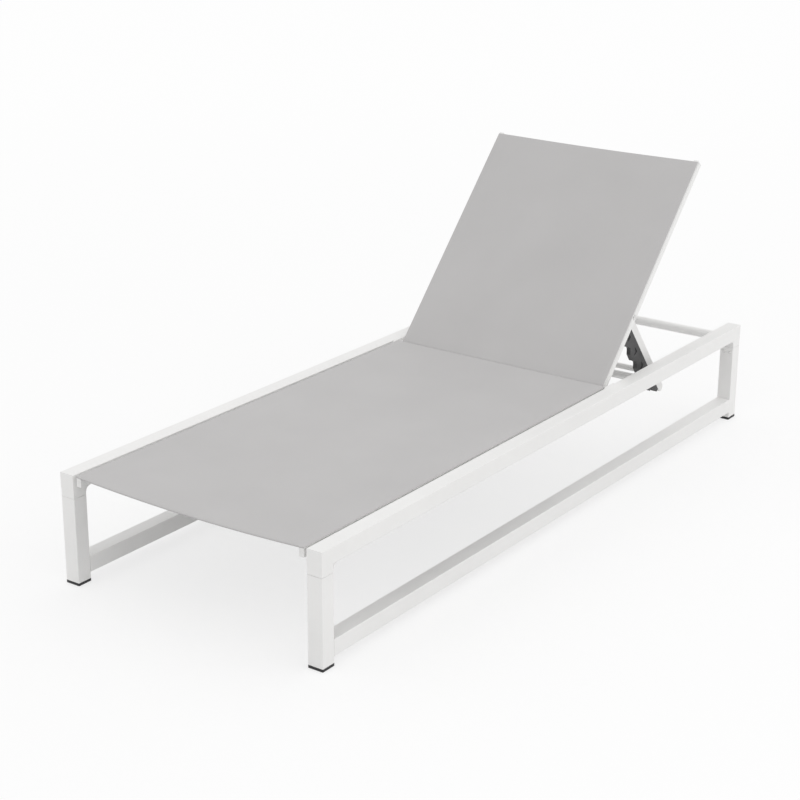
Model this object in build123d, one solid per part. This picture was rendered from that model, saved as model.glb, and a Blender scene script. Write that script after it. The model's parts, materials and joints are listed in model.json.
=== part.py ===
from build123d import *
import math
import os

# Sun lounger with two side frames, a mesh seat and a backrest propped on a notched rack.
# Lengths are in millimetres, X runs across, Y from foot to head, Z up.
# The origin is on the floor, midway along and across the lounger.

# Side frames of square tube, each a top rail, two legs in an upper and a lower piece, and a bottom rail
frame_length = 2000.0
frame_width = 776.0
frame_height = 285.0
tube_side = 41.0
tube_wall = 1.5
tube_corner = 1.6
corner_sweep = 12.0
seam_drop = 60.5
seam_gap = 0.6
bottom_rail_rise = 23.0

# Inserts that join each leg at its seam, and the caps under the legs
insert_length = 90.0
insert_fit = 0.25
insert_chamfer = 2.0
foot_flange = 5.0
foot_plug = 18.0
foot_chamfer = 1.0

# Screws that hold the inserts, two on the window side of each leg
leg_screw_drop = 15.5
leg_screw_spacing = 18.0
screw_head_radius = 4.6
screw_head_height = 2.0
screw_shank_radius = 2.5
screw_length = 12.0
screw_fit = 0.1

# Sling rails, an extrusion with a round bore for the sling's edge cord
rail_width = 14.0
rail_height = 25.0
rail_wall = 1.6
rail_corner = 1.2
rail_gap = 9.0
keder_bore = 3.6
keder_inset = 5.4
keder_mouth = 3.0
keder_rod_radius = 2.5
cap_thickness = 3.0
cap_plug = 9.0
cap_fit = 0.2
cap_screw_radius = 2.4
cap_screw_height = 0.8

# Mesh slings, taken as thin sheets on their rails
sling_thickness = 1.2
sling_lift = 0.3

# Seat, its cross bars placed as shares of the sling's length
seat_front_setback = 3.0
seat_sling_gap = 11.5
seat_bar_radius = 8.0
bar_wall = 1.5
front_bar_setback = 45.0
front_bar_bow = 14.0
seat_bar_lift = 2.0
seat_bar_bow = 16.0
middle_bar_shares = (0.38, 0.69)
rear_seat_bar_setback = 27.0
rail_bolt_radius = 3.0
rail_bolt_head_radius = 5.5
rail_bolt_head = 3.0
rail_bolt_drop = 4.6
rail_bolt_offset = 30.0
spacer_radius = 7.0
bolt_fit = 0.1

# Hinge of the backrest
hinge_setback = 696.5
end_clearance = 1.2
pin_radius = 4.0
pin_fit = 0.05
pin_head_radius = 6.5
pin_head = 3.0
bush_wall = 1.0
bush_flange = 1.0
bush_flange_radius = 6.5
face_gap = 0.3
bracket_length = 64.0
bracket_depth = 27.0
bracket_thickness = 5.0
bracket_boss_radius = 8.0
bracket_screw_inset = 9.0
bracket_screw_head = 1.5

# Backrest, narrower than the seat
back_angle = 47.0
back_inset = 11.0
back_reach = 718.0
back_heel = 13.0
back_sling_heel = 8.0
back_bar_radius = 9.0
back_bar_bow = 10.0
lower_bar_reach = 26.0
middle_bar_setback = 38.0
top_bar_setback = 34.0

# Prop, two struts with toothed racks that hang from the backrest
prop_reach = 222.0
prop_angle = 51.6
prop_gap = 3.0
strut_length = 347.0
strut_width = 24.0
strut_thickness = 12.0
strut_web = 2.5
strut_cheek = 2.2
channel_end_inset = 22.0
channel_fit = 0.15
strut_bush_wall = 2.0
pivot_head_radius = 7.0
pivot_head = 1.6
pivot_nut_radius = 7.0
pivot_nut = 6.0
tie_bar_radius = 8.0
tie_bar_reach = 266.0

# Rack teeth, measured along the strut from its pivot and down from its centre line
notch_count = 3
notches_above_count = 2
tooth_pitch = 65.5
first_root = 86.7
root_depth = 44.5
heel_depth = 57.4
tip_depth = 58.1
tooth_front_run = 16.5
tooth_back_run = 22.5
tooth_round = 4.0
rack_start = 34.0
rack_end_inset = 20.0
rack_end_depth = 22.0
hook_run = 75.5
slot_run = 66.0
slot_depth = 38.5
slot_width = 5.5
nose_run = 86.0
nose_depth = 34.5
tail_round = 1.5
pocket_depth = 2.0
pocket_rim = 4.0
pocket_height = 16.0
rack_screw_radius = 2.0
rack_screw_head_radius = 3.6
rack_screw_head = 1.4
rack_screw_inset = 24.0
rack_screw_count = 3

# Fixed bar that carries the racks, in two holders on the side frames
support_radius = 11.0
seat_clearance = 0.4
holder_thickness = 7.0
holder_wall = 2.25
holder_corner = 5.0
holder_rise = 7.0
holder_screw_radius = 2.5
holder_screw_spacing = 20.0
holder_end_gap = 2.0

# Crossbar between the rear legs
rear_bar_radius = 13.0
rear_bar_drop = 40.5
socket_flange_radius = 16.0
socket_flange = 3.0
socket_plug = 20.0

# All cuts run past their faces by this much
overrun = 2.0

half_width = frame_width / 2
half_length = frame_length / 2
frame_inner = half_width - tube_side
top_rail_under = frame_height - tube_side
seam_height = frame_height - seam_drop
rail_outer = frame_inner - rail_gap
rail_inner = rail_outer - rail_width
rail_centre = rail_outer - rail_width / 2
rail_top = frame_height - sling_thickness - sling_lift
rail_mid = rail_top - rail_height / 2
rail_bolt_height = rail_mid - rail_bolt_drop
cavity_top = rail_height / 2 - keder_inset - keder_bore - rail_wall
back_rail_outer = rail_outer - back_inset
back_rail_inner = back_rail_outer - rail_width
strut_outer = back_rail_inner - prop_gap
strut_inner = strut_outer - strut_thickness
hinge_along = half_length - hinge_setback
seat_start = -half_length + seat_front_setback
seat_rail_end = hinge_along - math.hypot(back_heel, rail_height / 2) - end_clearance
seat_sling_end = hinge_along - seat_sling_gap
middle_bar_reach = prop_reach - middle_bar_setback
rear_bar_height = frame_height - rear_bar_drop
rear_bar_along = half_length - tube_side / 2
channel_end = strut_length - channel_end_inset
rack_end = strut_length - rack_end_inset
rack_screw_length = strut_thickness - strut_cheek
hinge_bore_radius = pin_radius + bush_wall + 2 * pin_fit


def along(angle, distance, depth):
    """Place in the Y and Z plane at a distance and a depth on a line tilted by an angle."""
    c, s = math.cos(math.radians(angle)), math.sin(math.radians(angle))
    return distance * c + depth * s, distance * s - depth * c


prop_shift = along(back_angle, prop_reach, 0)
prop_along = hinge_along + prop_shift[0]
prop_height = rail_mid + prop_shift[1]
back_place = Pos(0, hinge_along, rail_mid) * Rot(back_angle, 0, 0)
prop_place = Pos(0, prop_along, prop_height) * Rot(-prop_angle, 0, 0)


def block(x, y, z):
    """Box between a low and a high limit on each axis."""
    spans = [high - low for low, high in (x, y, z)]
    return Pos(x[0], y[0], z[0]) * Box(*spans, align=(Align.MIN, Align.MIN, Align.MIN))


def rod(start, radius, x_end):
    """Round bar along X from a start point to another X."""
    length = abs(x_end - start[0])
    low = min(start[0], x_end)
    place = Plane(origin=(low, start[1], start[2]), z_dir=(1, 0, 0))
    return place.location * Cylinder(radius, length, align=(Align.CENTER, Align.CENTER, Align.MIN))


def pipe(start, radius, wall, x_end):
    """Round tube along X, open at both ends."""
    return rod(start, radius, x_end) - rod(start, radius - wall, x_end)


def pan_screw(place, head_radius, head_height, shank_radius, length):
    """Screw whose tapered head sits on the plane, with its shank below it."""
    low = (Align.CENTER, Align.CENTER, Align.MIN)
    head = Cone(head_radius, head_radius - head_height / 2, head_height, align=low)
    shank = Cylinder(shank_radius, length, align=(Align.CENTER, Align.CENTER, Align.MAX))
    return place.location * (head + shank)


def both_sides(shape):
    """The shape and its mirror image across the middle."""
    return [mirror(shape, about=Plane.YZ), shape]


def save(name, *shapes):
    """Write one node, a single solid or a group of separate solids."""
    whole = shapes[0] if len(shapes) == 1 else Compound(children=list(shapes))
    export_step(whole, f"parts/{name}.step")


def save_pair(name, shape):
    """Write the left and the right piece as two nodes."""
    left, right = both_sides(shape)
    save(f"left_{name}", left)
    save(f"right_{name}", right)


# Side frames

def leg_span(end):
    """Y limits of the leg at the foot end or the head end."""
    if end < 0:
        return -half_length, -half_length + tube_side
    return half_length - tube_side, half_length


def square_tube(x, y, z, axis):
    """Square tube with rounded long edges, open at both ends along the given axis."""
    outer = block(x, y, z)
    outer = fillet(outer.edges().filter_by(axis), tube_corner)
    spans = []
    for limits, direction in ((x, Axis.X), (y, Axis.Y), (z, Axis.Z)):
        step = -overrun if direction == axis else tube_wall
        spans.append((limits[0] + step, limits[1] - step))
    return outer - block(*spans)


def top_rail():
    """Top tube, closed at both ends, with a way down into each leg."""
    x = (frame_inner, half_width)
    outer = block(x, (-half_length, half_length), (top_rail_under, frame_height))
    outer = fillet(outer.edges().filter_by(Axis.Y), tube_corner)
    x_hole = (x[0] + tube_wall, x[1] - tube_wall)
    y_hole = (-half_length + tube_wall, half_length - tube_wall)
    shape = outer - block(x_hole, y_hole, (top_rail_under + tube_wall, frame_height - tube_wall))
    for end in (-1, 1):
        low, high = leg_span(end)
        z_hole = (top_rail_under - overrun, rail_mid)
        shape -= block(x_hole, (low + tube_wall, high - tube_wall), z_hole)
    for y in rail_bolt_rows():
        start = (frame_inner - overrun, y, rail_bolt_height)
        shape -= rod(start, rail_bolt_radius + bolt_fit, frame_inner + tube_wall + overrun)
    return shape


def upper_leg(end):
    """Short upper piece of a leg, with the rounded inside corner under the top rail."""
    low, high = leg_span(end)
    x = (frame_inner, half_width)
    shape = square_tube(x, (low, high), (seam_height, top_rail_under), Axis.Z)
    sweep = min(corner_sweep, top_rail_under - seam_height)
    face = high if end < 0 else low
    centre = face - end * sweep
    y = sorted((face, centre))
    corner = block(x, y, (top_rail_under - sweep, top_rail_under))
    corner -= rod((x[0] - overrun, centre, top_rail_under - sweep), sweep, x[1] + overrun)
    return shape + corner


def lower_leg(end):
    """Leg from the foot cap up to the seam, with holes for the insert's screws."""
    x = (frame_inner, half_width)
    shape = square_tube(x, leg_span(end), (foot_flange, seam_height - seam_gap), Axis.Z)
    for place in leg_screw_places(end):
        shape -= place.location * Cylinder(screw_shank_radius + screw_fit, tube_side)
    return shape


def leg_screw_places(end):
    """Planes on the leg's window side where the two insert screws sit."""
    low, high = leg_span(end)
    face = high if end < 0 else low
    middle = half_width - tube_side / 2
    z = seam_height - leg_screw_drop
    half = leg_screw_spacing / 2
    return [Plane(origin=(middle + side * half, face, z), z_dir=(0, -end, 0)) for side in (-1, 1)]


def bottom_rail():
    """Bottom tube between the front and the rear leg."""
    y = (-half_length + tube_side, half_length - tube_side)
    z = (bottom_rail_rise, bottom_rail_rise + tube_side)
    return square_tube((frame_inner, half_width), y, z, Axis.Y)


def inner_block(end, z, fit):
    """Block that fills the inside of a leg over a height."""
    low, high = leg_span(end)
    inset = tube_wall + fit
    return block((frame_inner + inset, half_width - inset), (low + inset, high - inset), z)


def leg_insert(end):
    """Block inside the leg that carries it across the seam."""
    half = insert_length / 2
    shape = inner_block(end, (seam_height - half, seam_height + half), insert_fit)
    ends = shape.faces().sort_by(Axis.Z)
    shape = chamfer(ends[0].edges() + ends[-1].edges(), insert_chamfer)
    for place in leg_screw_places(end):
        shape -= place.location * Cylinder(screw_shank_radius + pin_fit, tube_side)
    return shape


def foot_cap(end):
    """Cap under a leg, a flange on the floor with a plug in the tube."""
    flange = block((frame_inner, half_width), leg_span(end), (0, foot_flange))
    flange = fillet(flange.edges().filter_by(Axis.Z), tube_corner)
    flange = chamfer(flange.faces().sort_by(Axis.Z)[0].edges(), foot_chamfer)
    return flange + inner_block(end, (foot_flange, foot_flange + foot_plug), insert_fit)


# Sling rails

def seat_bar_rows():
    """Places along the seat of its cross bars."""
    span = seat_sling_end - seat_start
    middle = [seat_start + share * span for share in middle_bar_shares]
    return [seat_start + front_bar_setback, *middle, seat_rail_end - rear_seat_bar_setback]


def rail_bolt_rows():
    """Places of the bolts that hold the seat rail to the side frame, one beside each bar."""
    *rows, last = seat_bar_rows()
    return [y + rail_bolt_offset for y in rows] + [last - rail_bolt_offset]


def rail_section():
    """Section of the rail, its outer side towards +X: a box with a bore for the edge cord."""
    shape = Rectangle(rail_width, rail_height)
    shape = fillet(shape.vertices(), rail_corner)
    bore_x = rail_width / 2 - keder_inset
    bore_y = rail_height / 2 - keder_inset
    cavity_low = -rail_height / 2 + rail_wall
    cavity = Rectangle(rail_width - 2 * rail_wall, cavity_top - cavity_low)
    shape -= Pos(0, (cavity_top + cavity_low) / 2) * cavity
    shape -= Pos(bore_x, bore_y) * Circle(keder_bore)
    mouth = Rectangle(rail_width, keder_mouth, align=(Align.MIN, Align.MIN))
    return shape - Pos(bore_x, bore_y - keder_mouth / 2) * mouth


def rail(start, end):
    """Right-hand rail along Y between two places, its centre line at height zero."""
    plane = Plane(origin=(rail_centre, start, 0), x_dir=(1, 0, 0), z_dir=(0, -1, 0))
    return extrude(plane * rail_section(), start - end)


def keder_rod(start, end):
    """Cord in the rail's bore that holds the sling's edge."""
    origin = (rail_outer - keder_inset, start, rail_height / 2 - keder_inset)
    plane = Plane(origin=origin, z_dir=(0, 1, 0))
    return extrude(plane * Circle(keder_rod_radius), end - start)


def rail_cap(place, outward):
    """End cap on the rail at a place, facing outward along Y, with a plug and a screw."""
    y = sorted((place, place + outward * cap_thickness))
    plate = block((rail_inner, rail_outer), y, (-rail_height / 2, rail_height / 2))
    plate = fillet(plate.edges().filter_by(Axis.Y), rail_corner)
    inset = rail_wall + cap_fit
    x = (rail_inner + inset, rail_outer - inset)
    y = sorted((place, place - outward * cap_plug))
    plug = block(x, y, (-rail_height / 2 + inset, cavity_top - cap_fit))
    face = Plane(origin=(rail_centre, place + outward * cap_thickness, 0), z_dir=(0, outward, 0))
    return plate + plug + extrude(face * Circle(cap_screw_radius), cap_screw_height)


def bowed_bar(y, end_height, half_span, bow, radius):
    """Round tube between the rails that bows down in its middle."""
    left, right = (-half_span, y, end_height), (half_span, y, end_height)
    path = ThreePointArc(left, (0, y, end_height - bow), right)
    start = Plane(origin=path @ 0, z_dir=path % 0)
    shape = sweep(start * Circle(radius), path=path) - sweep(start * Circle(radius - bar_wall), path=path)
    z = (end_height - bow - 2 * radius, end_height + 2 * radius)
    return shape & block((-half_span, half_span), (y - 2 * radius, y + 2 * radius), z)


# Seat

def seat_rail():
    """Seat rail with holes for its bolts."""
    shape = Pos(0, 0, rail_mid) * rail(seat_start + cap_thickness, seat_rail_end - cap_thickness)
    for y in rail_bolt_rows():
        start = (rail_inner - overrun, y, rail_bolt_height)
        shape -= rod(start, rail_bolt_radius + bolt_fit, rail_outer + overrun)
    return shape


def seat_bar(y, bow):
    """Cross tube under the seat's sling."""
    return bowed_bar(y, rail_mid + seat_bar_lift, rail_inner, bow, seat_bar_radius)


def rail_bolts():
    """Bolts through the seat rails and their spacers into the side frames."""
    shapes = []
    for y in rail_bolt_rows():
        face = (rail_inner, y, rail_bolt_height)
        shank = rod(face, rail_bolt_radius, frame_inner + tube_wall + overrun)
        head = rod(face, rail_bolt_head_radius, rail_inner - rail_bolt_head)
        shapes += both_sides(shank + head)
    return shapes


def rail_spacers():
    """Rings that hold the seat rails off the side frames."""
    wall = spacer_radius - rail_bolt_radius - bolt_fit
    shapes = []
    for y in rail_bolt_rows():
        shapes += both_sides(pipe((rail_outer, y, rail_bolt_height), spacer_radius, wall, frame_inner))
    return shapes


# Hinge

def hinge_bracket():
    """Plate on the side frame with a boss for the hinge pin."""
    face = frame_inner - bracket_thickness
    plane = Plane(origin=(face, hinge_along, rail_mid), x_dir=(0, 1, 0), z_dir=(1, 0, 0))
    shape = extrude(plane * SlotOverall(bracket_length, bracket_depth), bracket_thickness)
    boss_end = back_rail_outer + face_gap
    shape += rod((boss_end, hinge_along, rail_mid), bracket_boss_radius, face)
    shape -= rod((boss_end - overrun, hinge_along, rail_mid), pin_radius + pin_fit, frame_inner + overrun)
    for place in bracket_screw_places():
        shape -= place.location * Cylinder(screw_shank_radius + screw_fit, bracket_length)
    return shape


def bracket_screw_places():
    """Planes on the bracket's inner face where its two screws sit."""
    reach = bracket_length / 2 - bracket_screw_inset
    x = frame_inner - bracket_thickness
    return [Plane(origin=(x, hinge_along + side * reach, rail_mid), z_dir=(-1, 0, 0)) for side in (-1, 1)]


def hinge_pin():
    """Pin through the backrest rail into the bracket, with its head inside the rail."""
    shoulder = back_rail_inner - bush_flange - face_gap
    head = rod((shoulder - pin_head, hinge_along, rail_mid), pin_head_radius, shoulder)
    return head + rod((shoulder, hinge_along, rail_mid), pin_radius, frame_inner - insert_fit)


# Pieces of the backrest are drawn lying flat about the hinge and then tilted up

def hinge_bore():
    """Space that the hinge's bush takes in the backrest rail and in its lower cap."""
    return rod((back_rail_inner - overrun, 0, 0), hinge_bore_radius, back_rail_outer + overrun)


def back_rail():
    """Backrest rail with bores for the hinge bush and the prop's bolt."""
    shape = Pos(-back_inset, 0, 0) * rail(cap_thickness - back_heel, back_reach - cap_thickness)
    bolt = rod((back_rail_inner - overrun, prop_reach, 0), pin_radius + pin_fit, back_rail_outer + overrun)
    return shape - hinge_bore() - bolt


def back_rail_caps():
    """End caps of a backrest rail, the lower one cut for the hinge bush."""
    lower = Pos(-back_inset, 0, 0) * rail_cap(cap_thickness - back_heel, -1)
    upper = Pos(-back_inset, 0, 0) * rail_cap(back_reach - cap_thickness, 1)
    return [lower - hinge_bore(), upper]


def hinge_bush():
    """Flanged bush in the backrest rail, running on the hinge pin."""
    sleeve = rod((back_rail_inner, 0, 0), pin_radius + bush_wall + pin_fit, back_rail_outer)
    flange = rod((back_rail_inner - bush_flange, 0, 0), bush_flange_radius, back_rail_inner)
    bore = rod((back_rail_inner - overrun, 0, 0), pin_radius + pin_fit, back_rail_outer + overrun)
    return sleeve + flange - bore


def back_bar(reach):
    """Cross tube of the backrest at a distance from the hinge."""
    return bowed_bar(reach, 0, back_rail_inner, back_bar_bow, back_bar_radius)


def pivot_bolt():
    """Bolt through the backrest rail, a spacer and the strut, with a nut inside."""
    head = rod((back_rail_outer, prop_reach, 0), pivot_head_radius, back_rail_outer + pivot_head)
    nut_face = strut_inner - face_gap
    plane = Plane(origin=(nut_face - pivot_nut, prop_reach, 0), z_dir=(1, 0, 0))
    nut = extrude(plane * RegularPolygon(pivot_nut_radius, 6), pivot_nut)
    return head + rod((nut_face, prop_reach, 0), pin_radius, back_rail_outer) + nut


def pivot_spacer():
    """Ring between the backrest rail and the strut."""
    wall = pivot_head_radius - pin_radius - pin_fit
    return pipe((strut_outer + face_gap, prop_reach, 0), pivot_head_radius, wall, back_rail_inner)


# Pieces of the prop are drawn along Y from their pivot, teeth down, and then swung down

def unit(run, depth):
    """Direction of a tooth's flank as a pair of shares."""
    length = math.hypot(run, depth)
    return run / length, depth / length


def notch_centre(number):
    """Where the support bar's axis lies in a notch, along the strut and down from it."""
    front = unit(tooth_front_run, heel_depth - root_depth)
    back = unit(-tooth_back_run, tip_depth - root_depth)
    middle = unit(front[0] + back[0], front[1] + back[1])
    half_sine = abs(front[0] * middle[1] - front[1] * middle[0])
    reach = (support_radius + seat_clearance) / half_sine
    root = first_root + number * tooth_pitch
    return root + middle[0] * reach, root_depth + middle[1] * reach


def rack_outline():
    """Side view of the rack, hooked teeth and a slotted tail below a straight edge."""
    half = strut_width / 2
    points, radii = [(rack_start, -half)], []
    for k in range(notch_count):
        root = first_root + k * tooth_pitch
        points.append((root - tooth_pitch + tooth_front_run, -heel_depth))
        points.append((root - tooth_back_run, -tip_depth))
        points.append((root, -root_depth))
        radii += [tooth_round, tooth_round, support_radius + seat_clearance]
    points.append((root + tooth_front_run, -heel_depth))
    points.append((root + tooth_pitch - tooth_back_run, -tip_depth))
    points.append((root + hook_run, -root_depth))
    points.append((root + slot_run, -slot_depth))
    points.append((root + slot_run, slot_width - slot_depth))
    points.append((root + nose_run, -nose_depth))
    points.append((rack_end, -rack_end_depth))
    radii += [tooth_round, tooth_round] + [tail_round for _ in points[len(radii) + 3:]]
    points.append((rack_end, -half))
    edge = FilletPolyline(*points, radius=radii)
    return make_face(edge + Line(points[-1], points[0]))


def rack():
    """Toothed rack with a tongue in the strut's channel and a pocket in each tooth."""
    plane = Plane(origin=(strut_inner, 0, 0), x_dir=(0, 1, 0), z_dir=(1, 0, 0))
    shape = extrude(plane * rack_outline(), strut_thickness)
    half = strut_width / 2
    cheek = strut_cheek + channel_fit
    x = (strut_inner + cheek, strut_outer - cheek)
    y = (rack_start + channel_fit, channel_end - channel_fit)
    shape += block(x, y, (-half, half - strut_web - channel_fit))
    middle = -(half + tip_depth) / 2
    z = (middle - pocket_height / 2, middle + pocket_height / 2)
    for k in range(notch_count + 1):
        root = first_root + k * tooth_pitch
        y = (root - tooth_pitch + tooth_front_run + pocket_rim, root - tooth_back_run - pocket_rim)
        for face in (strut_inner, strut_outer - pocket_depth):
            shape -= block((face, face + pocket_depth), y, z)
    for place in rack_screw_places():
        shape -= place.location * Cylinder(rack_screw_radius + pin_fit, 2 * rack_screw_length)
    return shape


def rack_screw_places():
    """Planes on the strut's inner face where the rack's screws sit."""
    first = rack_start + rack_screw_inset
    last = channel_end - rack_screw_inset
    step = (last - first) / (rack_screw_count - 1)
    rows = [first + step * k for k in range(rack_screw_count)]
    return [Plane(origin=(strut_inner, y, 0), z_dir=(-1, 0, 0)) for y in rows]


def strut():
    """Channel with round ends that carries the rack."""
    centre = (strut_length - strut_width / 2) / 2
    plane = Plane(origin=(strut_inner, centre, 0), x_dir=(0, 1, 0), z_dir=(1, 0, 0))
    outline = SlotOverall(strut_length + strut_width / 2, strut_width)
    shape = extrude(plane * outline, strut_thickness)
    half = strut_width / 2
    x = (strut_inner + strut_cheek, strut_outer - strut_cheek)
    shape -= block(x, (rack_start, channel_end), (-half - overrun, half - strut_web))
    bore = pin_radius + strut_bush_wall + 2 * pin_fit
    shape -= rod((strut_inner - overrun, 0, 0), bore, strut_outer + overrun)
    for place in rack_screw_places():
        shape -= place.location * Cylinder(rack_screw_radius + screw_fit, 2 * rack_screw_length)
    return shape


def strut_bush():
    """Bush in the strut's upper end, running on the pivot bolt."""
    sleeve = rod((strut_inner, 0, 0), pin_radius + strut_bush_wall + pin_fit, strut_outer)
    return sleeve - rod((strut_inner - overrun, 0, 0), pin_radius + pin_fit, strut_outer + overrun)


# Support bar, where the engaged notch puts it

def support_place():
    """Y and Z of the support bar's axis."""
    reach, depth = notch_centre(notches_above_count)
    y, z = along(-prop_angle, reach, depth)
    return prop_along + y, prop_height + z


def holder_screw_heights():
    """Heights of the two screws that hold a holder to the side frame."""
    middle = (top_rail_under + frame_height - holder_rise) / 2
    return [middle + side * holder_screw_spacing / 2 for side in (-1, 1)]


def bar_holder():
    """Block on the side frame that hangs below its top rail and holds the bar's end."""
    y, z = support_place()
    x = (frame_inner - holder_thickness, frame_inner)
    half = support_radius + insert_fit + holder_wall
    shape = block(x, (y - half, y + half), (z, frame_height - holder_rise))
    shape = fillet(shape.edges().filter_by(Axis.X).sort_by(Axis.Z)[-2:], holder_corner)
    shape += rod((x[0], y, z), half, x[1])
    bore_end = frame_inner - holder_end_gap + pin_fit
    shape -= rod((x[0] - overrun, y, z), support_radius + insert_fit, bore_end)
    for height in holder_screw_heights():
        shape -= holder_screw_head(y, height, screw_fit)
        shape -= rod((x[0] - overrun, y, height), holder_screw_radius + screw_fit, x[1] + overrun)
    return shape


def holder_screw_head(y, height, fit):
    """Countersunk head in the holder's face, larger all round by a fit."""
    place = Plane(origin=(frame_inner - holder_thickness, y, height), z_dir=(-1, 0, 0))
    high = (Align.CENTER, Align.CENTER, Align.MAX)
    low_radius, top_radius = holder_screw_radius + fit, 2 * holder_screw_radius + fit
    return place.location * Cone(low_radius, top_radius, holder_screw_radius, align=high)


def holder_screws():
    """Countersunk screws of the two holders."""
    y, _ = support_place()
    neck = frame_inner - holder_thickness + holder_screw_radius
    shapes = []
    for height in holder_screw_heights():
        shank = rod((neck, y, height), holder_screw_radius, frame_inner)
        shapes += both_sides(holder_screw_head(y, height, 0) + shank)
    return shapes


def bar_socket():
    """Flanged plug that seats the rear crossbar on the side frame."""
    start = (frame_inner - socket_flange, rear_bar_along, rear_bar_height)
    flange = rod(start, socket_flange_radius, frame_inner)
    plug_radius = rear_bar_radius - bar_wall - insert_fit
    return flange + rod(start, plug_radius, frame_inner - socket_flange - socket_plug)


def save_side_frames():
    """Write the side frames, their joints and their foot caps."""
    save_pair("top_rail", top_rail())
    save_pair("bottom_rail", bottom_rail())
    inserts, screws = [], []
    for end, name in ((-1, "front"), (1, "rear")):
        save_pair(f"{name}_leg_top", upper_leg(end))
        save_pair(f"{name}_leg", lower_leg(end))
        save_pair(f"{name}_foot_cap", foot_cap(end))
        inserts += both_sides(leg_insert(end))
        for place in leg_screw_places(end):
            head = (screw_head_radius, screw_head_height)
            screws += both_sides(pan_screw(place, *head, screw_shank_radius, screw_length))
    save("leg_inserts", *inserts)
    save("leg_screws", *screws)


def save_seat():
    """Write the seat's rails, bars and sling."""
    first, last = seat_start + cap_thickness, seat_rail_end - cap_thickness
    save_pair("seat_rail", seat_rail())
    caps = [Pos(0, 0, rail_mid) * cap for cap in (rail_cap(first, -1), rail_cap(last, 1))]
    save("seat_rail_caps", *[piece for cap in caps for piece in both_sides(cap)])
    save("seat_edge_cords", *both_sides(Pos(0, 0, rail_mid) * keder_rod(first, last)))
    save("seat_rail_bolts", *rail_bolts())
    save("seat_rail_spacers", *rail_spacers())
    front, *middle, rear = seat_bar_rows()
    save("front_seat_bar", seat_bar(front, front_bar_bow))
    for number, y in enumerate(middle, start=1):
        save(f"middle_seat_bar_{number}", seat_bar(y, seat_bar_bow))
    save("rear_seat_bar", seat_bar(rear, seat_bar_bow))
    y = (seat_start, seat_sling_end)
    save("seat_sling", block((-rail_outer, rail_outer), y, (rail_top + sling_lift, frame_height)))


def save_hinges():
    """Write the brackets and pins that carry the backrest."""
    save_pair("hinge_bracket", hinge_bracket())
    screws = []
    for place in bracket_screw_places():
        head = (screw_head_radius, bracket_screw_head)
        screws += both_sides(pan_screw(place, *head, screw_shank_radius, bracket_thickness))
    save("hinge_bracket_screws", *screws)
    save("hinge_pins", *both_sides(hinge_pin()))


def save_backrest():
    """Write the backrest and the pivots of the prop, tilted up."""
    save_pair("back_rail", back_place * back_rail())
    caps = [back_place * cap for cap in back_rail_caps()]
    save("back_rail_caps", *[piece for cap in caps for piece in both_sides(cap)])
    cord = Pos(-back_inset, 0, 0) * keder_rod(hinge_bore_radius + cap_fit, back_reach - cap_thickness)
    save("back_edge_cords", *both_sides(back_place * cord))
    save("back_lower_bar", back_place * back_bar(lower_bar_reach))
    save("back_middle_bar", back_place * back_bar(middle_bar_reach))
    save("back_top_bar", back_place * back_bar(back_reach - top_bar_setback))
    x = (-back_rail_outer, back_rail_outer)
    z = rail_height / 2 + sling_lift
    sheet = block(x, (-back_sling_heel, back_reach), (z, z + sling_thickness))
    save("back_sling", back_place * sheet)
    save("hinge_bushes", *both_sides(back_place * hinge_bush()))
    save("pivot_bolts", *both_sides(back_place * pivot_bolt()))
    save("pivot_spacers", *both_sides(back_place * pivot_spacer()))


def save_prop():
    """Write the struts, their racks and the bar that ties them, swung down."""
    save_pair("strut", prop_place * strut())
    save_pair("rack", prop_place * rack())
    screws = []
    for place in rack_screw_places():
        head = (rack_screw_head_radius, rack_screw_head)
        screw = pan_screw(place, *head, rack_screw_radius, rack_screw_length)
        screws += both_sides(prop_place * screw)
    save("rack_screws", *screws)
    save("strut_bushes", *both_sides(prop_place * strut_bush()))
    tie_bar = pipe((-strut_inner, tie_bar_reach, 0), tie_bar_radius, bar_wall, strut_inner)
    save("prop_tie_bar", prop_place * tie_bar)


def save_fixed_bars():
    """Write the support bar, the rear crossbar and what holds them."""
    y, z = support_place()
    end = frame_inner - holder_end_gap
    save("support_bar", pipe((-end, y, z), support_radius, bar_wall, end))
    save_pair("support_bar_holder", bar_holder())
    save("holder_screws", *holder_screws())
    end = frame_inner - socket_flange
    rear_bar = pipe((-end, rear_bar_along, rear_bar_height), rear_bar_radius, bar_wall, end)
    save("rear_crossbar", rear_bar)
    save("rear_bar_sockets", *both_sides(bar_socket()))


def main():
    """Build every piece and write it."""
    os.makedirs("parts", exist_ok=True)
    save_side_frames()
    save_seat()
    save_hinges()
    save_backrest()
    save_prop()
    save_fixed_bars()


main()
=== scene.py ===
"""Looks of a low chaise lounge: a coated tube frame, mesh slings and a backrest on toothed racks.

Everything is in metres: X runs across, Y from the foot end to the head end and Z up.
"""

import json
import logging
import math
from dataclasses import dataclass, field
from enum import Enum

import bmesh
import bpy
from mathutils import Matrix, Vector


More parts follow.
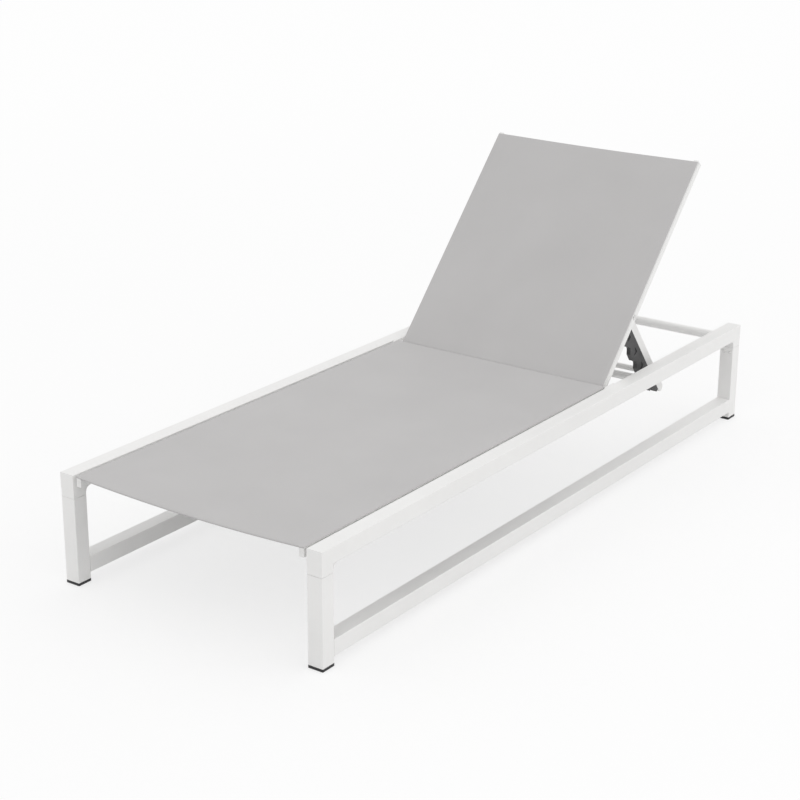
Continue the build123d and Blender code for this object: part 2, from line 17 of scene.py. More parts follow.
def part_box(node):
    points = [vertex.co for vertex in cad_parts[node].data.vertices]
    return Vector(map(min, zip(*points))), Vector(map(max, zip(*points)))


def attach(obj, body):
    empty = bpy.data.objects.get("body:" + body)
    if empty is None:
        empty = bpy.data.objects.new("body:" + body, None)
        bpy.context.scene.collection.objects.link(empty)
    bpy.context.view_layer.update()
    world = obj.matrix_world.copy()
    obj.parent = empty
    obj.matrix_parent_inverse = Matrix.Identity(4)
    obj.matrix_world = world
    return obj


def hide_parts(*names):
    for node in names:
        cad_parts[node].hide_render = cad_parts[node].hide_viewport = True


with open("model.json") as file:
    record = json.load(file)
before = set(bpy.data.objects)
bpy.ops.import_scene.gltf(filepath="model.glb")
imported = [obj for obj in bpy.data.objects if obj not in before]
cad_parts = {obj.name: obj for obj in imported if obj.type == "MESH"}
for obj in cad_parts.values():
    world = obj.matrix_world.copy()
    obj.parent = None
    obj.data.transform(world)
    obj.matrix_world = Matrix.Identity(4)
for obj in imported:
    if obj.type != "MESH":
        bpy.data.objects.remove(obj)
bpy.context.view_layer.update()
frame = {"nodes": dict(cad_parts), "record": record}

IMAGE_WIDTH = 800
log = logging.getLogger("lounge")

Colour = tuple[float, float, float]
Point = tuple[float, float, float]
Pair = tuple[float, float]
Material = bpy.types.Material
Socket = bpy.types.NodeSocket


class Body(Enum):
    """The rigid bodies that new pieces ride on."""

    FRAME = "frame"
    BACKREST = "backrest"


class Slot(Enum):
    """The record's material slots."""

    FRAME_PAINT = "frame_paint"
    DARK_FRAME = "dark_frame"
    MESH_FABRIC = "mesh_fabric"
    BLACK_PLASTIC = "black_plastic"
    WHITE_PLASTIC = "white_plastic"
    CORD_PLASTIC = "cord_plastic"
    STEEL = "steel"


class Side(Enum):
    """The lounge's two sides."""

    LEFT = "left"
    RIGHT = "right"


class LegEnd(Enum):
    """The two ends that the legs stand at."""

    FRONT = "front"
    REAR = "rear"


@dataclass(frozen=True)
class Noise:
    """A noise pattern: bumps in a metre, finer layers and factors on the three coordinates."""

    scale: float
    detail: float = 3.0
    stretch: Point = (1, 1, 1)


class Shader:
    """A material's node tree with short calls for the nodes that the finishes use."""

    def __init__(self, name: str) -> None:
        """Start an empty material.

        Args:
            name: The material's name.
        """
        self.material = bpy.data.materials.new(name)
        self.material.use_nodes = True
        self.tree = self.material.node_tree
        self.surface = self.tree.nodes["Principled BSDF"]

    def node(self, kind: str, **values: object) -> bpy.types.Node:
        """Add a node and set its properties.

        Args:
            kind: Blender's name for the node's type.
            values: Properties of the node, by name.

        Returns:
            The new node.
        """
        made = self.tree.nodes.new(kind)
        for key, value in values.items():
            setattr(made, key, value)
        return made

    def link(self, source: Socket, target: Socket) -> None:
        """Join two sockets."""
        self.tree.links.new(source, target)

    def place(self) -> Socket:
        """Return the object's own coordinates, in metres."""
        return self.node("ShaderNodeTexCoord").outputs["Object"]

    def noise(self, pattern: Noise) -> Socket:
        """Add a noise pattern.

        Args:
            pattern: The pattern's sizes.

        Returns:
            The pattern's value.
        """
        mapping = self.node("ShaderNodeMapping")
        mapping.inputs["Scale"].default_value = pattern.stretch
        self.link(self.place(), mapping.inputs["Vector"])
        noise = self.node("ShaderNodeTexNoise")
        noise.inputs["Scale"].default_value = pattern.scale
        noise.inputs["Detail"].default_value = pattern.detail
        self.link(mapping.outputs["Vector"], noise.inputs["Vector"])
        return noise.outputs["Fac"]

    def ramp(self, value: Socket, low: Colour, high: Colour, span: Pair) -> None:
        """Colour the surface between two colours.

        Args:
            value: The pattern that picks the colour.
            low: Colour at the low end.
            high: Colour at the high end.
            span: The pattern's values at the two ends.
        """
        ramp = self.node("ShaderNodeValToRGB")
        for element, colour, position in zip(ramp.color_ramp.elements, (low, high), span):
            element.position = position
            element.color = (*colour, 1)
        self.link(value, ramp.inputs["Fac"])
        self.link(ramp.outputs["Color"], self.surface.inputs["Base Color"])

    def span(self, value: Socket, low: float, high: float) -> Socket:
        """Map a pattern from 0 to 1 onto a range.

        Args:
            value: The pattern.
            low: Result at 0.
            high: Result at 1.

        Returns:
            The mapped value.
        """
        mapped = self.node("ShaderNodeMapRange")
        mapped.inputs["To Min"].default_value = low
        mapped.inputs["To Max"].default_value = high
        self.link(value, mapped.inputs["Value"])
        return mapped.outputs["Result"]

    def roughness(self, value: Socket, low: float, high: float) -> None:
        """Let a pattern vary the roughness between two values."""
        self.link(self.span(value, low, high), self.surface.inputs["Roughness"])

    def bump(self, value: Socket, depth: float, strength: float) -> None:
        """Raise the surface by a pattern.

        Args:
            value: The pattern.
            depth: Height of a full step, in metres.
            strength: Share of the effect.
        """
        bump = self.node("ShaderNodeBump")
        bump.inputs["Distance"].default_value = depth
        bump.inputs["Strength"].default_value = strength
        self.link(value, bump.inputs["Height"])
        self.link(bump.outputs["Normal"], self.surface.inputs["Normal"])


@dataclass(frozen=True)
class GrainedFinish:
    """A finish of two close colours with varying gloss and a fine grain."""

    name: str
    colour: Colour
    shade: Colour
    clouds: Noise
    cloud_span: Pair
    rubbing: Noise
    rough: Pair
    grain: Noise
    grain_depth: float
    grain_strength: float
    even: tuple[tuple[str, float], ...]

    def build(self) -> Material:
        """Make the finish's material.

        Returns:
            The material.
        """
        shader = Shader(self.name)
        for socket, value in self.even:
            shader.surface.inputs[socket].default_value = value
        shader.ramp(shader.noise(self.clouds), self.shade, self.colour, self.cloud_span)
        shader.roughness(shader.noise(self.rubbing), *self.rough)
        shader.bump(shader.noise(self.grain), self.grain_depth, self.grain_strength)
        return shader.material


@dataclass(frozen=True)
class PowderCoat(GrainedFinish):
    """Baked coating on the tubes: pale, satin, with a fine orange-peel surface."""

    name: str = "frame_coat"
    colour: Colour = (0.89, 0.885, 0.875)
    shade: Colour = (0.865, 0.86, 0.85)
    clouds: Noise = Noise(7.0, 4.0)
    cloud_span: Pair = (0.35, 0.65)
    rubbing: Noise = Noise(45.0)
    rough: Pair = (0.38, 0.5)
    grain: Noise = Noise(900.0, 2.0)
    grain_depth: float = 0.00006
    grain_strength: float = 0.5
    even: tuple[tuple[str, float], ...] = (("Coat Weight", 0.08), ("Coat Roughness", 0.35))


@dataclass(frozen=True)
class MouldedPlastic(GrainedFinish):
    """Injection-moulded plastic with a fine matt grain."""

    clouds: Noise = Noise(30.0)
    cloud_span: Pair = (0.35, 0.65)
    rubbing: Noise = Noise(120.0)
    rough: Pair = (0.45, 0.62)
    grain: Noise = Noise(1400.0, 2.0)
    grain_depth: float = 0.00005
    grain_strength: float = 0.6
    even: tuple[tuple[str, float], ...] = (("Specular IOR Level", 0.45),)


@dataclass(frozen=True)
class PlatedSteel(GrainedFinish):
    """Plated steel of the screws, bolts and pins, slightly dulled."""

    name: str = "plated_steel"
    colour: Colour = (0.52, 0.51, 0.5)
    shade: Colour = (0.36, 0.355, 0.35)
    clouds: Noise = Noise(260.0)
    cloud_span: Pair = (0.3, 0.7)
    rubbing: Noise = Noise(500.0, 2.0)
    rough: Pair = (0.28, 0.45)
    grain: Noise = Noise(1200.0, 2.0, (1, 1, 6))
    grain_depth: float = 0.00004
    grain_strength: float = 0.5
    even: tuple[tuple[str, float], ...] = (("Metallic", 0.9),)


@dataclass(frozen=True)
class MeshWeave:
    """Woven mesh of coated threads, in the sheet's own width and length coordinates."""

    name: str = "sling_mesh"
    thread: Colour = (0.588, 0.578, 0.576)
    gap: Colour = (0.448, 0.44, 0.438)
    colour_span: Pair = (0.0, 0.9)
    pitch: float = 0.0013
    weave_share: float = 0.45
    clouds: Noise = Noise(5.0)
    cloud_share: Pair = (0.2, 0.55)
    rough: Pair = (0.62, 0.75)
    relief: float = 0.00018
    relief_strength: float = 0.5
    even: tuple[tuple[str, float], ...] = (
        ("Specular IOR Level", 0.25),
        ("Sheen Weight", 0.12),
        ("Sheen Roughness", 0.5),
    )

    def weave(self, shader: Shader) -> Socket:
        """Add the pattern of threads that cross over and under each other.

        Args:
            shader: The material's nodes.

        Returns:
            The weave's height, from 0 to 1.
        """
        split = shader.node("ShaderNodeSeparateXYZ")
        place = shader.node("ShaderNodeUVMap", uv_map="cloth").outputs["UV"]
        shader.link(place, split.inputs["Vector"])
        over = shader.node("ShaderNodeMath", operation="MULTIPLY")
        for axis in (0, 1):
            turn = shader.node("ShaderNodeMath", operation="MULTIPLY")
            turn.inputs[1].default_value = 2 * math.pi / self.pitch
            shader.link(split.outputs[axis], turn.inputs[0])
            wave = shader.node("ShaderNodeMath", operation="SINE")
            shader.link(turn.outputs[0], wave.inputs[0])
            shader.link(wave.outputs[0], over.inputs[axis])
        height = shader.node("ShaderNodeMath", operation="MULTIPLY_ADD")
        height.inputs[1].default_value = 0.5
        height.inputs[2].default_value = 0.5
        shader.link(over.outputs[0], height.inputs[0])
        return height.outputs[0]

    def build(self) -> Material:
        """Make the mesh's material.

        Returns:
            The material.
        """
        shader = Shader(self.name)
        for socket, value in self.even:
            shader.surface.inputs[socket].default_value = value
        height = self.weave(shader)
        blend = shader.node("ShaderNodeMath", operation="MULTIPLY_ADD")
        blend.inputs[1].default_value = self.weave_share
        shader.link(height, blend.inputs[0])
        shader.link(shader.span(shader.noise(self.clouds), *self.cloud_share), blend.inputs[2])
        shader.ramp(blend.outputs[0], self.gap, self.thread, self.colour_span)
        shader.roughness(height, *self.rough)
        shader.bump(height, self.relief, self.relief_strength)
        return shader.material


STRUT_COAT = PowderCoat("strut_coat", (0.86, 0.855, 0.845), (0.83, 0.825, 0.815))
# Lighter copy of the frame coat for the bars under the backrest: painted light that lifts the
# shade they sit in.
BAR_COAT_PAINTED_LIGHT = PowderCoat("bar_coat_painted_light", (0.95, 0.945, 0.935), (0.93, 0.925, 0.915))
BLACK_PLASTIC = MouldedPlastic("moulded_black", (0.022, 0.022, 0.024), (0.014, 0.014, 0.015))
RACK_PLASTIC = MouldedPlastic("rack_plastic", (0.075, 0.074, 0.076), (0.052, 0.051, 0.052))
WHITE_PLASTIC = MouldedPlastic("moulded_white", (0.84, 0.835, 0.825), (0.81, 0.805, 0.795))
EDGE_CORD = MouldedPlastic("edge_cord", (0.36, 0.35, 0.35), (0.31, 0.3, 0.3))
# Pale colour for the slings' tucked sides: painted light that lightens the shade in the narrow gap
# between sling and rail.
EDGE_TUCK_PAINTED_LIGHT = MouldedPlastic("edge_tuck_painted_light", (0.86, 0.855, 0.845), (0.83, 0.825, 0.815))
ZINC_PLATE = PlatedSteel("zinc_plate", (0.78, 0.775, 0.765), (0.66, 0.655, 0.65))


@dataclass(frozen=True)
class Finishes:
    """Every finish of the lounge, built once."""

    coat: Material = field(default_factory=PowderCoat().build)
    strut_coat: Material = field(default_factory=STRUT_COAT.build)
    # Painted light: the lighter coat of the shaded bars.
    bar_coat_painted_light: Material = field(default_factory=BAR_COAT_PAINTED_LIGHT.build)
    black: Material = field(default_factory=BLACK_PLASTIC.build)
    rack: Material = field(default_factory=RACK_PLASTIC.build)
    white: Material = field(default_factory=WHITE_PLASTIC.build)
    cord: Material = field(default_factory=EDGE_CORD.build)
    # Painted light: the pale colour of the slings' tucked sides.
    tuck_painted_light: Material = field(default_factory=EDGE_TUCK_PAINTED_LIGHT.build)
    steel: Material = field(default_factory=PlatedSteel().build)
    zinc: Material = field(default_factory=ZINC_PLATE.build)
    mesh: Material = field(default_factory=MeshWeave().build)


def place_piece(
    shape: bmesh.types.BMesh, name: str, body: Body, material: Material
) -> bpy.types.Object:
    """Turn a shape into a piece that rides on a body.

    Args:
        shape: The shape, which is used up.
        name: The piece's name.
        body: The body it rides on.
        material: Its finish.

    Returns:
        The new piece.
    """
    bmesh.ops.recalc_face_normals(shape, faces=shape.faces)
    data = bpy.data.meshes.new(name)
    shape.to_mesh(data)
    shape.free()
    data.materials.append(material)
    piece = bpy.data.objects.new(name, data)
    bpy.context.scene.collection.objects.link(piece)
    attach(piece, body.value)
    return piece


def skin_rings(shape: bmesh.types.BMesh, rings: list[list[Point]], smooth: bool = True) -> None:
    """Join rings of points by faces and close both ends with flat ones.

    Args:
        shape: The shape that the faces go into.
        rings: Rings with as many points each, in order.
        smooth: Whether the faces between the rings are shaded as one curved surface.
    """
    rows = [[shape.verts.new(place) for place in ring] for ring in rings]
    count = len(rows[0])
    for low, high in zip(rows, rows[1:]):
        for k in range(count):
            after = (k + 1) % count
            shape.faces.new((low[k], low[after], high[after], high[k])).smooth = smooth
    shape.faces.new(rows[0][::-1])
    shape.faces.new(rows[-1])


@dataclass
class FootCap:
    """Moulded cap under a leg, a flat sole with a lip that wraps the end of the tube."""

    side: Side
    end: LegEnd
    lip: float = 0.008
    proud: float = 0.0003
    chamfer: float = 0.0009
    rim: float = 0.0004
    corner: float = 0.0018
    steps: int = 5

    @property
    def node(self) -> str:
        """Return the name of the CAD node that the cap stands for."""
        return f"{self.side.value}_{self.end.value}_foot_cap"

    def ring(self, inset: float, height: float) -> list[Point]:
        """Return a rounded square around the leg.

        Args:
            inset: How far its sides lie inside the cap's own.
            height: Its height over the floor.

        Returns:
            Its points, counter-clockwise.
        """
        (x0, y0, _), (x1, y1, _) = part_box(self.node)
        middle = ((x0 + x1) / 2, (y0 + y1) / 2)
        flat = ((x1 - x0) / 2 - inset - self.corner, (y1 - y0) / 2 - inset - self.corner)
        points = []
        for quarter, (side_x, side_y) in enumerate(((1, 1), (-1, 1), (-1, -1), (1, -1))):
            for k in range(self.steps + 1):
                turn = math.radians(90 * (quarter + k / self.steps))
                x = middle[0] + side_x * flat[0] + self.corner * math.cos(turn)
                y = middle[1] + side_y * flat[1] + self.corner * math.sin(turn)
                points.append((x, y, height))
        return points

    def build(self, finishes: Finishes) -> bpy.types.Object:
        """Make the cap and let it stand for its CAD node.

        Args:
            finishes: The lounge's finishes.

        Returns:
            The cap's object.
        """
        shape = bmesh.new()
        rings = (
            (self.chamfer, 0.0),
            (-self.proud, self.chamfer),
            (-self.proud, self.lip - self.rim),
            (self.rim, self.lip),
        )
        skin_rings(shape, [self.ring(inset, height) for inset, height in rings])
        name = f"{self.node}_moulded"
        cap = place_piece(shape, name, Body.FRAME, finishes.black)
        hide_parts(self.node)
        return cap


@dataclass
class CornerWelds:
    """Ground welds that close the groove between a top rail and the two legs under it."""

    side: Side
    below: float = 0.0006
    above: float = 0.0022
    depth: float = 0.0015
    proud: float = 0.00004
    end_inset: float = 0.0014

    def build(self, finishes: Finishes) -> bpy.types.Object:
        """Make the welds of one side frame.

        Args:
            finishes: The lounge's finishes.

        Returns:
            The welds' object.
        """
        shape = bmesh.new()
        side = self.side.value
        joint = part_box(f"{side}_top_rail")[0][2]
        low, high = joint - self.below, joint + self.above
        for end in LegEnd:
            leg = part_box(f"{side}_{end.value}_leg")
            run = (leg[0][1] + self.end_inset, leg[1][1] - self.end_inset)
            for face, inward in ((leg[0][0], 1), (leg[1][0], -1)):
                outer, inner = face - inward * self.proud, face + inward * self.depth
                section = ((outer, low), (outer, high), (inner, high), (inner, low))
                skin_rings(shape, [[(x, y, z) for x, z in section] for y in run], smooth=False)
        name = f"{side}_corner_welds"
        return place_piece(shape, name, Body.FRAME, finishes.coat)


@dataclass
class BackTopTube:
    """Round tube across the head of the backrest, bowed so that the sling clears it."""

    tilt: float
    node: str = "back_top_bar"
    bow: float = 0.004
    rings: int = 24
    sides: int = 28
    end_band: float = 0.0001

    def end_circle(self, reach: float) -> tuple[float, float, float]:
        """Measure the circle at the end of the CAD bar.

        Args:
            reach: Where the bar ends, across the lounge.

        Returns:
            The middle's place along the lounge, its height, and the radius.
        """
        places = [vertex.co for vertex in frame["nodes"][self.node].data.vertices]
        rim = [(place.y, place.z) for place in places if place.x > reach - self.end_band]
        low, high = (tuple(pick(axis) for axis in zip(*rim)) for pick in (min, max))
        return (low[0] + high[0]) / 2, (low[1] + high[1]) / 2, (high[0] - low[0]) / 2

    def build(self, finishes: Finishes) -> bpy.types.Object:
        """Make the tube and let it stand for its CAD node.

        Args:
            finishes: The lounge's finishes.

        Returns:
            The tube's object.
        """
        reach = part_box(self.node)[1][0]
        y_end, z_end, radius = self.end_circle(reach)
        turns = [2 * math.pi * k / self.sides for k in range(self.sides)]
        rings = []
        for k in range(self.rings + 1):
            share = 2 * k / self.rings - 1
            drop = self.bow * (1 - share**2)
            y = y_end + drop * math.sin(self.tilt)
            z = z_end - drop * math.cos(self.tilt)
            circle = [(y + radius * math.cos(turn), z + radius * math.sin(turn)) for turn in turns]
            rings.append([(share * reach, *place) for place in circle])
        shape = bmesh.new()
        skin_rings(shape, rings)
        name = "back_top_tube"
        tube = place_piece(shape, name, Body.BACKREST, finishes.coat)
        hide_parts(self.node)
        return tube


def run_lengths(line: list[Pair]) -> list[float]:
    """Add up the lengths along a line of points.

    Args:
        line: The points.

    Returns:
        Each point's distance from the first, along the line.
    """
    reach = [0.0]
    for a, b in zip(line, line[1:]):
        reach.append(reach[-1] + math.dist(a, b))
    return reach


@dataclass
class SlingSheet:
    """A stretched mesh sling, whose sides run over the rails into their slots.

    Places along the sling are measured from the origin up the rails' tilt.
    """

    name: str
    node: str
    body: Body
    rails: tuple[str, str]
    origin: Point
    tilt: float
    start: float
    end: float
    half_width: float
    top: float
    sag: float
    side_ease: float = 1.0
    end_sag_share: float = 1.0
    end_reach: float = 0.12
    end_fold: bool = True
    fold: float = 0.0035
    fold_round: float = 0.0012
    fold_steps: int = 4
    thickness: float = 0.0008
    lift_share: float = 0.6
    corner: float = 0.0013
    corner_steps: int = 6
    tuck: float = 0.0056
    across: int = 56
    along: int = 64

    def profile(self) -> list[Pair]:
        """Work out the section across the sling.

        Returns:
            Places across, from the right tuck to the left, and heights over the rails.
        """
        lift = self.thickness * self.lift_share
        side = [(self.half_width + lift, -self.tuck)]
        for k in range(self.corner_steps + 1):
            turn = math.radians(90 * k / self.corner_steps)
            x = self.half_width + lift - self.corner * (1 - math.cos(turn))
            side.append((x, lift - self.corner * (1 - math.sin(turn))))
        inner, height = side[-1]
        middle = [(inner * (1 - 2 * k / self.across), height) for k in range(1, self.across)]
        return side + middle + [(-x, z) for x, z in reversed(side)]

    def course(self) -> list[Pair]:
        """Work out the line along the sling, with its hemmed ends folded down.

        Returns:
            Places along, and heights over the flat run.
        """
        bend = self.fold_round
        turns = [math.radians(90 * k / self.fold_steps) for k in range(self.fold_steps + 1)]
        fold = [(bend * (1 - math.sin(turn)), -bend * (1 - math.cos(turn))) for turn in turns]
        fold.append((0.0, -self.fold))
        low, high = self.start + bend, self.end - bend
        flat = [(low + (high - low) * k / self.along, 0.0) for k in range(1, self.along)]
        head = [(self.start + y, z) for y, z in reversed(fold)]
        tail = [(self.end - y, z) for y, z in fold]
        if not self.end_fold:
            tail = [(high, 0.0), (self.end, 0.0)]
        return head + flat + tail

    def drop(self, x: float, share: float) -> float:
        """Return how far the cloth hangs below the rails.

        Args:
            x: Place across the sling.
            share: Place along it, from 0 to 1.

        Returns:
            The drop in metres.
        """
        reach = min(1.0, abs(x) / self.half_width)
        to_end = min(1.0, max(0.0, 1 - share) / self.end_reach)
        end = self.end_sag_share + (1 - self.end_sag_share) * to_end * (2 - to_end)
        return self.sag * (1 - reach**2) ** self.side_ease * end

    def at(self, x: float, y: float, z: float) -> Vector:
        """Return the place of a point of the cloth.

        Args:
            x: Place across.
            y: Place along.
            z: Height over the rails' top before the cloth sags.

        Returns:
            The point in the lounge's frame.
        """
        height = self.top + z
        if abs(x) < self.half_width - self.corner:
            height -= self.drop(x, (y - self.start) / (self.end - self.start))
        c, s = math.cos(self.tilt), math.sin(self.tilt)
        _, y_origin, z_origin = self.origin
        return Vector((x, y_origin + y * c - height * s, z_origin + y * s + height * c))

    def build(self, finishes: Finishes) -> bpy.types.Object:
        """Make the sling, dress it and let it stand for its CAD node.

        Args:
            finishes: The lounge's finishes.

        Returns:
            The sling's object.
        """
        section, course = self.profile(), self.course()
        widths, lengths = run_lengths(section), run_lengths(course)
        tucks = (0, len(section) - 2)
        shape = bmesh.new()
        cloth = shape.loops.layers.uv.new("cloth")
        rows = [
            [shape.verts.new(self.at(x, y, z + bend)) for x, z in section] for y, bend in course
        ]
        for j in range(len(course) - 1):
            for i in range(len(section) - 1):
                corners = [(j, i), (j, i + 1), (j + 1, i + 1), (j + 1, i)]
                face = shape.faces.new([rows[a][b] for a, b in corners])
                # The tucked sides take the second material, whose pale colour is painted light
                # over the gap's shade.
                face.material_index = int(i in tucks)
                face.smooth = True
                for loop, (a, b) in zip(face.loops, corners):
                    loop[cloth].uv = (widths[b], lengths[a])
        sling = place_piece(shape, self.name, self.body, finishes.mesh)
        # Second material: the painted light of the tucked sides.
        sling.data.materials.append(finishes.tuck_painted_light)
        skin = sling.modifiers.new("thickness", "SOLIDIFY")
        skin.thickness = self.thickness
        skin.offset = 0.0
        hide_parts(self.node)
        log.info("%s: %.3f by %.3f m when cut", self.name, widths[-1], lengths[-1])
        return sling


def hinge_place() -> tuple[Point, float]:
    """Return the backrest hinge's place and the backrest's tilt at rest, in radians."""
    joints = frame["record"]["behaviour"]["joints"]
    joint = next(j for j in joints if j["name"] == "backrest_tilt")
    return tuple(joint["pos_m"]), -math.radians(joint["range_deg"][0])


def span_along(node: str, origin: Point, tilt: float) -> Pair:
    """Measure a CAD node along a tilted line through a place.

    Args:
        node: The node's name.
        origin: The place that the distances start from.
        tilt: The line's tilt above the Y axis, in radians.

    Returns:
        The nearest and the farthest distance.
    """
    c, s = math.cos(tilt), math.sin(tilt)
    piece = frame["nodes"][node]
    places = [piece.matrix_world @ vertex.co - Vector(origin) for vertex in piece.data.vertices]
    reach = [place.y * c + place.z * s for place in places]
    return min(reach), max(reach)


@dataclass(frozen=True)
class Slings:
    """The two slings, each a little shorter than its CAD solid at the head end."""

    seat_sag: float = 0.010
    seat_end_inset: float = 0.0055
    seat_end_sag_share: float = 0.1
    back_sag: float = 0.005
    back_end_inset: float = 0.004
    back_side_ease: float = 1.5
    back_rail_half_height: float = 0.0125

    def seat(self) -> SlingSheet:
        """Lay out the seat's sling, which lies nearly flat at its head end.

        Returns:
            The sling's sizes and place.
        """
        low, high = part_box("seat_sling")
        return SlingSheet(
            name="seat_mesh",
            node="seat_sling",
            body=Body.FRAME,
            rails=("left_seat_rail", "right_seat_rail"),
            origin=(0, 0, 0),
            tilt=0.0,
            start=low[1],
            end=high[1] - self.seat_end_inset,
            half_width=high[0],
            top=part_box("right_seat_rail")[1][2],
            sag=self.seat_sag,
            end_sag_share=self.seat_end_sag_share,
            end_fold=False,
        )

    def back(self, hinge: Point, tilt: float) -> SlingSheet:
        """Lay out the backrest's sling.

        Args:
            hinge: The place of the backrest's hinge.
            tilt: The backrest's tilt at rest, in radians.

        Returns:
            The sling's sizes and place.
        """
        start, end = span_along("back_sling", hinge, tilt)
        return SlingSheet(
            name="back_mesh",
            node="back_sling",
            body=Body.BACKREST,
            rails=("left_back_rail", "right_back_rail"),
            origin=hinge,
            tilt=tilt,
            start=start,
            end=end - self.back_end_inset,
            half_width=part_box("back_sling")[1][0],
            top=self.back_rail_half_height,
            sag=self.back_sag,
            side_ease=self.back_side_ease,
        )


@dataclass
class Dressing:
    """Gives each carried-over CAD node its finish."""

    finishes: Finishes

    def pick(self, node: str) -> Material:
        """Pick the finish of a node, by its name or else by its slot in the record.

        Args:
            node: The node's name.

        Returns:
            The finish's material.
        """
        made = self.finishes
        own = {
            "left_rack": made.rack,
            "right_rack": made.rack,
            "pivot_bolts": made.zinc,
            "leg_screws": made.zinc,
            # The bars in the backrest's shade take the lighter coat, which is painted light.
            "rear_crossbar": made.bar_coat_painted_light,
            "support_bar": made.bar_coat_painted_light,
            "prop_tie_bar": made.bar_coat_painted_light,
        }
        if node in own:
            return own[node]
        slots = {part["node"]: part["material_slot"] for part in frame["record"]["subparts"]}
        return {
            Slot.FRAME_PAINT: made.coat,
            Slot.DARK_FRAME: made.strut_coat,
            Slot.MESH_FABRIC: made.mesh,
            Slot.BLACK_PLASTIC: made.black,
            Slot.WHITE_PLASTIC: made.white,
            Slot.CORD_PLASTIC: made.cord,
            Slot.STEEL: made.steel,
        }[Slot(slots[node])]

    def dress(self) -> None:
        """Put a finish on every CAD node."""
        for node, piece in frame["nodes"].items():
            material = self.pick(node)
            piece.data.materials.clear()
            piece.data.materials.append(material)
            log.info("%s: %s", node, material.name)


def background_rays(tree: bpy.types.NodeTree) -> Socket:
    """Return 1 for the rays that show the white background and 0 for those that only light things.

    Args:
        tree: The nodes of the floor or of the world.

    Returns:
        The value.
    """
    path = tree.nodes.new("ShaderNodeLightPath")
    shown = path.outputs["Is Camera Ray"]
    for ray in ("Is Glossy Ray", "Is Transmission Ray"):
        total = tree.nodes.new("ShaderNodeMath")
        total.use_clamp = True
        tree.links.new(shown, total.inputs[0])
        tree.links.new(path.outputs[ray], total.inputs[1])
        shown = total.outputs[0]
    return shown


@dataclass(frozen=True)
class SoftLamp:
    """A square lamp that faces the lounge."""

    name: str
    place: Point
    size: float
    power: float
    target: Point = (0, 0, 0.2)

    def build(self) -> None:
        """Make the lamp and turn it to its target."""
        data = bpy.data.lights.new(self.name, "AREA")
        data.shape = "SQUARE"
        data.size = self.size
        data.energy = self.power
        lamp = bpy.data.objects.new(self.name, data)
        lamp.location = self.place
        aim = Vector(self.target) - Vector(self.place)
        lamp.rotation_euler = aim.to_track_quat("-Z", "Y").to_euler()
        bpy.context.scene.collection.objects.link(lamp)


@dataclass(frozen=True)
class PhotoCamera:
    """The camera that was fitted to the photograph, with its angles in degrees."""

    lens_pixels: float = 1860.902
    azimuth: float = 35.576
    elevation: float = 19.706
    roll: float = 0.259
    distance: float = 4.956833
    shift_right: float = -0.101546
    shift_up: float = 0.100922
    aim_height: float = 0.15
    sensor_mm: float = 36.0
    farthest: float = 200.0

    def build(self) -> None:
        """Make the camera and let the scene use it."""
        a, e, r = (math.radians(v) for v in (self.azimuth, self.elevation, self.roll))
        back = Vector((math.sin(a) * math.cos(e), -math.cos(a) * math.cos(e), math.sin(e)))
        level = Vector((math.cos(a), math.sin(a), 0))
        steep = back.cross(level)
        right = math.cos(r) * level + math.sin(r) * steep
        up = math.cos(r) * steep - math.sin(r) * level
        data = bpy.data.cameras.new("camera")
        data.sensor_width = self.sensor_mm
        data.lens = self.lens_pixels / IMAGE_WIDTH * self.sensor_mm
        data.clip_end = self.farthest
        camera = bpy.data.objects.new("camera", data)
        place = Vector((0, 0, self.aim_height)) + back * self.distance
        place += right * self.shift_right + up * self.shift_up
        turn = Matrix((right, up, back)).transposed().to_4x4()
        camera.matrix_world = Matrix.Translation(place) @ turn
        bpy.context.scene.collection.objects.link(camera)
        bpy.context.scene.camera = camera


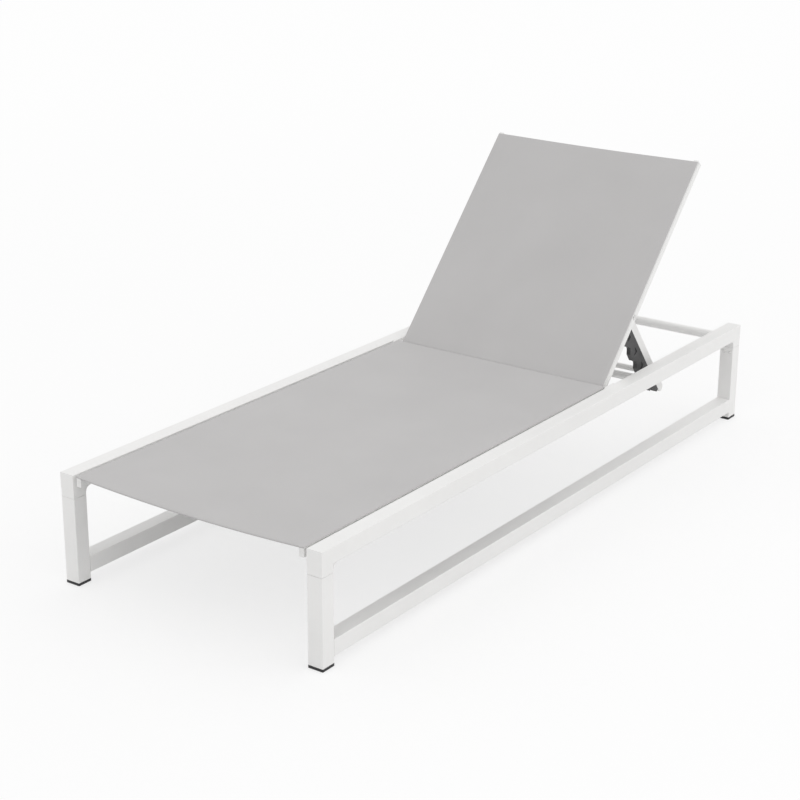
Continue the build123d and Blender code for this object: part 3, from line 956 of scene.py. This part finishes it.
@dataclass(frozen=True)
class Studio:
    """A pale floor and sky, soft lamps and the camera of the photograph."""

    floor_size: float = 60.0
    floor_drop: float = 0.0005
    floor_colour: Colour = (0.8, 0.8, 0.8)
    seen_floor: Colour = (0.31, 0.31, 0.31)
    near_glow: float = 0.686
    far_glow: float = 0.701
    glow_span: Pair = (1.2, 7.0)
    sky: float = 0.92
    backdrop: float = 0.99
    lamps: tuple[SoftLamp, ...] = (
        SoftLamp("side", (6.5, 1.5, 2.6), 4.0, 42.0),
        SoftLamp("key", (2.6, -2.4, 3.6), 3.0, 4.0),
    )

    def build(self) -> None:
        """Make the floor, the sky, the lamps and the camera."""
        self.floor()
        self.world()
        for lamp in self.lamps:
            lamp.build()
        PhotoCamera().build()

    def glow(self, shader: Shader) -> Socket:
        """Add the floor's glow, which changes a little with the distance from the lounge.

        Args:
            shader: The floor's nodes.

        Returns:
            The glow's shader.
        """
        reach = shader.node("ShaderNodeVectorMath", operation="LENGTH")
        shader.link(shader.place(), reach.inputs[0])
        level = shader.node("ShaderNodeMapRange", interpolation_type="SMOOTHSTEP")
        ends = {
            "From Min": self.glow_span[0],
            "From Max": self.glow_span[1],
            "To Min": self.near_glow,
            "To Max": self.far_glow,
        }
        for socket, value in ends.items():
            level.inputs[socket].default_value = value
        shader.link(reach.outputs["Value"], level.inputs["Value"])
        glow = shader.node("ShaderNodeEmission")
        shader.link(level.outputs["Result"], glow.inputs["Strength"])
        return glow.outputs[0]

    def floor(self) -> None:
        """Make a large floor that looks white, keeps the shadow and lights like a pale one."""
        bpy.ops.mesh.primitive_plane_add(size=self.floor_size, location=(0, 0, -self.floor_drop))
        floor = bpy.context.object
        floor.name = "floor"
        shader = Shader("studio_floor")
        seen, lit = (shader.node("ShaderNodeBsdfDiffuse") for _ in range(2))
        seen.inputs["Color"].default_value = (*self.seen_floor, 1)
        lit.inputs["Color"].default_value = (*self.floor_colour, 1)
        shown = shader.node("ShaderNodeAddShader")
        shader.link(seen.outputs[0], shown.inputs[0])
        shader.link(self.glow(shader), shown.inputs[1])
        pick = shader.node("ShaderNodeMixShader")
        shader.link(background_rays(shader.tree), pick.inputs["Fac"])
        shader.link(lit.outputs[0], pick.inputs[1])
        shader.link(shown.outputs[0], pick.inputs[2])
        shader.link(pick.outputs[0], shader.tree.nodes["Material Output"].inputs["Surface"])
        floor.data.materials.append(shader.material)

    def world(self) -> None:
        """Make an even sky that looks white."""
        world = bpy.data.worlds.new("studio")
        world.use_nodes = True
        bpy.context.scene.world = world
        tree = world.node_tree
        back = tree.nodes["Background"]
        seen = tree.nodes.new("ShaderNodeMapRange")
        seen.inputs["To Min"].default_value = self.sky
        seen.inputs["To Max"].default_value = self.backdrop
        tree.links.new(background_rays(tree), seen.inputs["Value"])
        tree.links.new(seen.outputs["Result"], back.inputs["Strength"])
        back.inputs["Color"].default_value = (1, 1, 1, 1)


def main() -> None:
    """Dress the lounge, make the scene's own pieces and set up the studio."""
    logging.basicConfig(level=logging.INFO, format="%(message)s")
    bpy.context.scene.view_settings.view_transform = "Standard"
    finishes = Finishes()
    Dressing(finishes).dress()
    hinge, tilt = hinge_place()
    slings = Slings()
    parts: list[CornerWelds | FootCap | SlingSheet | BackTopTube] = []
    for side in Side:
        parts += [CornerWelds(side), FootCap(side, LegEnd.FRONT), FootCap(side, LegEnd.REAR)]
    parts += [slings.seat(), BackTopTube(tilt), slings.back(hinge, tilt)]
    for part in parts:
        piece = part.build(finishes)
        log.info("%s: %d faces", piece.name, len(piece.data.polygons))
    Studio().build()


if __name__ == "__main__":
    main()
